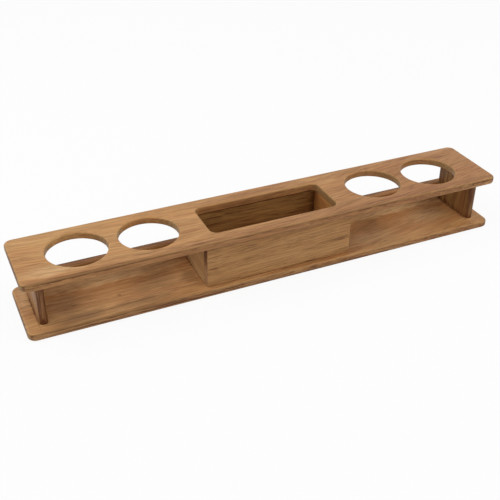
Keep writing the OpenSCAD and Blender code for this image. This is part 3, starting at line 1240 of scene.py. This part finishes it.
# %% Base board's teak
BASE_MARKS = [
    # x, y, half length, half width (mm), turn (degrees), strength
    (-265, -43, 88, 1.4, 1.5, 0.42), (-205, -40, 38, 2.4, 2, 0.44), (-130, -49, 22, 1.2, 0, 0.25),
    (-222, -18, 3.4, 1.6, -10, 0.6), (-250, 24, 60, 1.2, 1, 0.2), (-300, -52, 40, 1.0, 2, 0.2),
    (190, -44, 40, 1.2, 9, 0.2), (250, -30, 50, 1.3, 11, 0.18), (347, -53, 8, 3.0, 50, 0.4),
    # Painted shade along the front arris
    (-230, -55.2, 150, 1.8, 0, 0.3),
    # The two sawn ends, with painted shade on them
    (-350.6, -6, 56, 2.2, 90, 0.8), (350.4, 0, 62, 1.8, 90, 0.6),
    # Painted shade beside the left upright, the right upright and the box
    (-332.8, 0, 52, 1.2, 90, 0.6), (318.6, 0, 50, 1.4, 90, 0.6), (-109.4, 0, 44, 1.3, 90, 0.45),
]
# Painted shade: soft patches in the bays, a darker front before the left upright, and beside the box's
# left side.
BASE_PAINTED_SHADE = [
    (-292, -4, 20, 30, 0, 0.3), (-160, 0, 22, 26, 0, 0.28), (172, 6, 24, 20, 0, 0.2),
    (288, 8, 24, 20, 0, 0.2), (-212, -44, 56, 12, 0, 0.42), (-272, -43, 40, 13, 0, 0.5),
    (-120, -14, 16, 22, 0, 0.5),
]
# Painted light: paler bands along the back of the bays, paler patches in the right bay, and outside the
# left upright.
BASE_PAINTED_LIGHT = [
    (-215, 30, 140, 17, 0, 0.9), (230, 30, 130, 12, 0, 0.9), (155, -28, 46, 18, 0, 0.4),
    (272, -6, 46, 22, 0, 0.4), (-340, 22, 30, 10, 90, 0.5),
]
# Lines on the long edges, partly grain and partly painted shade along the arrises.
BASE_EDGE_LINES_AND_SHADE = [
    # x, z, half length, half width (mm), turn (degrees), strength
    (-220, 9.7, 190, 1.7, 0, 0.62), (-145, 4.7, 105, 1.4, 0, 0.62), (-280, 4.8, 60, 1.0, 0, 0.4),
    (-170, 7.4, 34, 1.0, 0, 0.45), (-72, 7.5, 44, 1.1, 0, 0.55), (60, 1.7, 140, 1.9, 0, 0.9),
    (120, 4.4, 70, 0.8, 0, 0.3), (150, 8.6, 50, 0.7, 0, 0.2),
]
BASE_TEAK = {
    "Slope": 0.10, "Sweep": 0.3, "Wander": 0.006, "Pith Y": -0.03, "Pith Z": -0.07, "Spacing": 0.0042,
    "Ring Depth": 0.22, "Fibre Depth": 0.26, "Thread Depth": 0.26, "Edge Painted Shade": 0.28,
    "Warm Share": 0.36,
}
dress(base_board, teak_material(
    "oiled_teak_base", BASE_TEAK, marks=BASE_MARKS, shade_and_stains=BASE_PAINTED_SHADE, pale_streaks_and_light=BASE_PAINTED_LIGHT,
    edge_lines_and_shade=BASE_EDGE_LINES_AND_SHADE))

# %% [markdown]
# ### Teak for the box
#
# The front panel has fine level grain that climbs a little to the right. The
# back panel is seen from inside. Its marks are long dark lines; one of them is
# painted shade where it meets the top board, and a painted shadow darkens it
# near its right end. The pattern of both is turned to lie flat, so their marks
# are placed by x and height.

# %% Front and back panels' teak
FRONT_MARKS = [
    # x, z, half length, half width (mm), turn (degrees), strength
    (-80, 52, 5, 0.7, 4, 0.45), (-101, 49, 7, 0.8, 0, 0.45), (-100, 38, 8, 0.8, 0, 0.5),
    (-92, 44, 12, 0.6, 5, 0.35), (-70, 60, 16, 0.6, 5, 0.3), (92, 38, 16, 4, 5, 0.22),
    (-30, 20, 30, 0.8, 4, 0.2), (50, 12.5, 18, 1.2, 0, 0.35), (30, 50, 18, 0.6, 5, 0.3),
    (60, 30, 14, 0.6, 5, 0.3),
    # Painted shade under the top board, on the base board, and down the left end
    (0, 70.5, 130, 1.8, 0.6, 0.3), (0, 11, 150, 0.8, 0, 0.5), (-109, 62, 22, 1.1, 90, 0.8),
]
FRONT_TEAK = {
    "Slope": 0.03, "Wander": 0.002, "Pith Y": 0.16, "Pith Z": 0.02, "Spacing": 0.003, "Fineness": 1.6,
    "Ring Depth": 0.1, "Fibre Depth": 0.34, "Thread Depth": 0.42, "Warm Share": 0.04,
    "End": tone(190, 150, 112), "Pale": tone(198, 150, 96), "Deep": tone(188, 138, 84),
}
BACK_MARKS = [
    # The first line is painted shade under the top board's lip.
    (0, 72.2, 112, 0.9, 0, 0.8), (-20, 63, 90, 0.7, 0.5, 0.4), (30, 57, 70, 0.6, -0.5, 0.35),
    (-50, 52, 60, 0.7, 0.5, 0.4), (10, 46, 90, 0.6, 0.3, 0.4), (-20, 38, 80, 0.7, 0, 0.35),
]
# A painted shadow near the right corner, inside the box.
BACK_PAINTED_SHADOW = [(96, 42, 40, 9, 90, 0.6)]
BACK_TEAK = {
    "Slope": -0.05, "Sweep": 0.2, "Wander": 0.006, "Pith Y": -0.05, "Pith Z": 0.02, "Spacing": 0.0045,
    "Ring Depth": 0.35, "Fibre Depth": 0.4, "Thread Depth": 0.5, "Warm Share": 0.1,
    # The stain tone here is the colour of the painted shadow.
    "Pale": tone(173, 133, 78), "Deep": tone(151, 111, 60), "Stain And Shade Tone": tone(60, 36, 16),
}
dress(box_front, teak_material("oiled_teak_front", FRONT_TEAK, turn=LAY_FLAT, marks=FRONT_MARKS))
dress(box_back, teak_material(
    "oiled_teak_back", BACK_TEAK, turn=LAY_FLAT, marks=BACK_MARKS, shade_and_stains=BACK_PAINTED_SHADOW))

# %% [markdown]
# The side panels run from front to back, and so does their grain. The left one
# shows its outer face in the left bay. It is even and pale, while the right one
# shows warmer bands inside the box.

# %% Side panels' teak
SIDE_TURN = (0, -QUARTER, QUARTER)
SIDE_TEAK = {
    "Grain Way": (0, 1, 0), "Slope": 0.05, "Wander": 0.004, "Pith Y": -0.04, "Pith Z": 0.02,
    "Spacing": 0.005, "Ring Depth": 0.14, "Fibre Depth": 0.2,
}
LEFT_SIDE_TEAK = {
    **SIDE_TEAK, "Warm Share": 0.05, "Thread Depth": 0.15,
    "Pale": tone(198, 160, 112), "Deep": tone(180, 138, 92),
}
RIGHT_SIDE_TEAK = {**SIDE_TEAK, "Pale": tone(222, 166, 102), "Deep": tone(190, 134, 74)}
for side, name, values in zip(box_sides, ("left", "right"), (LEFT_SIDE_TEAK, RIGHT_SIDE_TEAK)):
    dress(side, teak_material(f"oiled_teak_{name}_side", values, turn=SIDE_TURN))

# %% [markdown]
# ### Teak for the uprights and rails
#
# Grain stands up in the uprights, so their pattern is turned until height comes
# first. Each gets a dark line down both sides of its nose, painted shade at its
# foot, and painted shade on the faces that look to the front or the back.

# %% Uprights' teak
UPRIGHT_TURN = (QUARTER, 0, QUARTER)
# The last row of each list is painted shade at the foot.
LEFT_NOSE_MARKS = [
    # height, x, half length, half width (mm), turn (degrees), strength
    (42, -330, 60, 1.2, 0, 0.5), (42, -322.4, 60, 1.2, 0, 0.4), (11, -326, 7, 9, 0, 0.6),
]
RIGHT_NOSE_MARKS = [
    (42, 321.5, 60, 1.4, 0, 0.45), (42, 327, 60, 0.8, 0, 0.25), (11, 326, 7, 9, 0, 0.5),
]
UPRIGHT_TEAK = {
    "Grain Way": (0, 0, 1), "Slope": 0.02, "Wander": 0.002, "Pith Z": -0.09, "Spacing": 0.0034,
    "Ring Depth": 0.45, "Fibre Depth": 0.4, "Thread Depth": 0.5,
}
LEFT_UPRIGHT_TEAK = {
    **UPRIGHT_TEAK, "Pith Y": -0.30, "Edge Painted Shade": 0.25, "Warm Share": 0.3,
    "Pale": tone(177, 133, 82), "Deep": tone(150, 103, 58),
}
RIGHT_UPRIGHT_TEAK = {
    **UPRIGHT_TEAK, "Pith Y": 0.30, "Edge Painted Shade": 0.3, "Warm Share": 0.15,
    "Pale": tone(176, 138, 82), "Deep": tone(130, 92, 50),
}
for upright, name, values, marks in zip(
        uprights, ("left", "right"), (LEFT_UPRIGHT_TEAK, RIGHT_UPRIGHT_TEAK),
        (LEFT_NOSE_MARKS, RIGHT_NOSE_MARKS)):
    dress(upright, teak_material(f"oiled_teak_{name}_upright", values, turn=UPRIGHT_TURN, marks=marks))

# %% [markdown]
# The two rails are alike, so they share one material. A dark line runs along
# their tops, close to the back.

# %% Rails' teak
RAIL_MARK_X = 213
RAIL_MARK_INSET = 1.9
rail_mark_y = rail_high.y * MM_PER_METRE - RAIL_MARK_INSET
RAIL_MARKS = [(side * RAIL_MARK_X, rail_mark_y, 150, 1.5, 0, 0.85) for side in (-1, 1)]
RAIL_TEAK = {
    "Slope": 0.02, "Wander": 0.003, "Pith Y": -0.04, "Pith Z": 0.02, "Spacing": 0.004,
    "Ring Depth": 0.4, "Fibre Depth": 0.34, "Thread Depth": 0.5,
    "Pale": tone(190, 134, 76), "Deep": tone(152, 100, 52),
}
rail_teak = teak_material("oiled_teak_rail", RAIL_TEAK, marks=RAIL_MARKS)
for rail in rails:
    dress(rail, rail_teak)

# %% [markdown]
# ### Beech for the dowels
#
# The dowels are bought as fluted beech pins: pale, close-grained, with fine
# flecks. They hide inside the joints, and keep the shape they have in the frame.
# Some stand upright and some lie down, but all are out of sight, so one pattern
# with upright lines does for every one.

# %% Dowel material
BEECH_LINES = (900.0, 900.0, 60.0)
BEECH_FLECKS = 1400.0
FLECKS_SHOW = (0.62, 0.7)
FLECK_SHARE = 0.4
LINES_SHINE = (0.3, 0.7, 0.7, 0.6)
BEECH_BUMP_STRENGTH = 0.2
BEECH_BUMP_DISTANCE = 0.0002


def beech_material():
    """Pale wood with fine lines and darker flecks."""
    material = bpy.data.materials.new("plain_beech")
    material.use_nodes = True
    tree = material.node_tree
    shader = tree.nodes["Principled BSDF"]
    place = tree.nodes.new("ShaderNodeTexCoord").outputs["Object"]
    lines = noise(tree, work_out_vector(tree, "MULTIPLY", place, BEECH_LINES), 1.0)
    flecks = spread(tree, noise(tree, place, BEECH_FLECKS, 1.0), *FLECKS_SHOW)
    colour = blend(tree, lines, tone(214, 184, 142), tone(192, 156, 112))
    colour = blend(tree, work_out(tree, "MULTIPLY", flecks, FLECK_SHARE), colour, tone(150, 108, 70))
    plug(tree, shader.inputs["Base Color"], colour)
    plug(tree, shader.inputs["Roughness"], spread(tree, lines, *LINES_SHINE))
    bumps = {"Height": lines, "Strength": BEECH_BUMP_STRENGTH, "Distance": BEECH_BUMP_DISTANCE}
    plug(tree, shader.inputs["Normal"], add(tree, "ShaderNodeBump", bumps).outputs["Normal"])
    return material


beech = beech_material()
for name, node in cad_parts.items():
    if name.endswith("_dowels"):
        dress(node, beech)
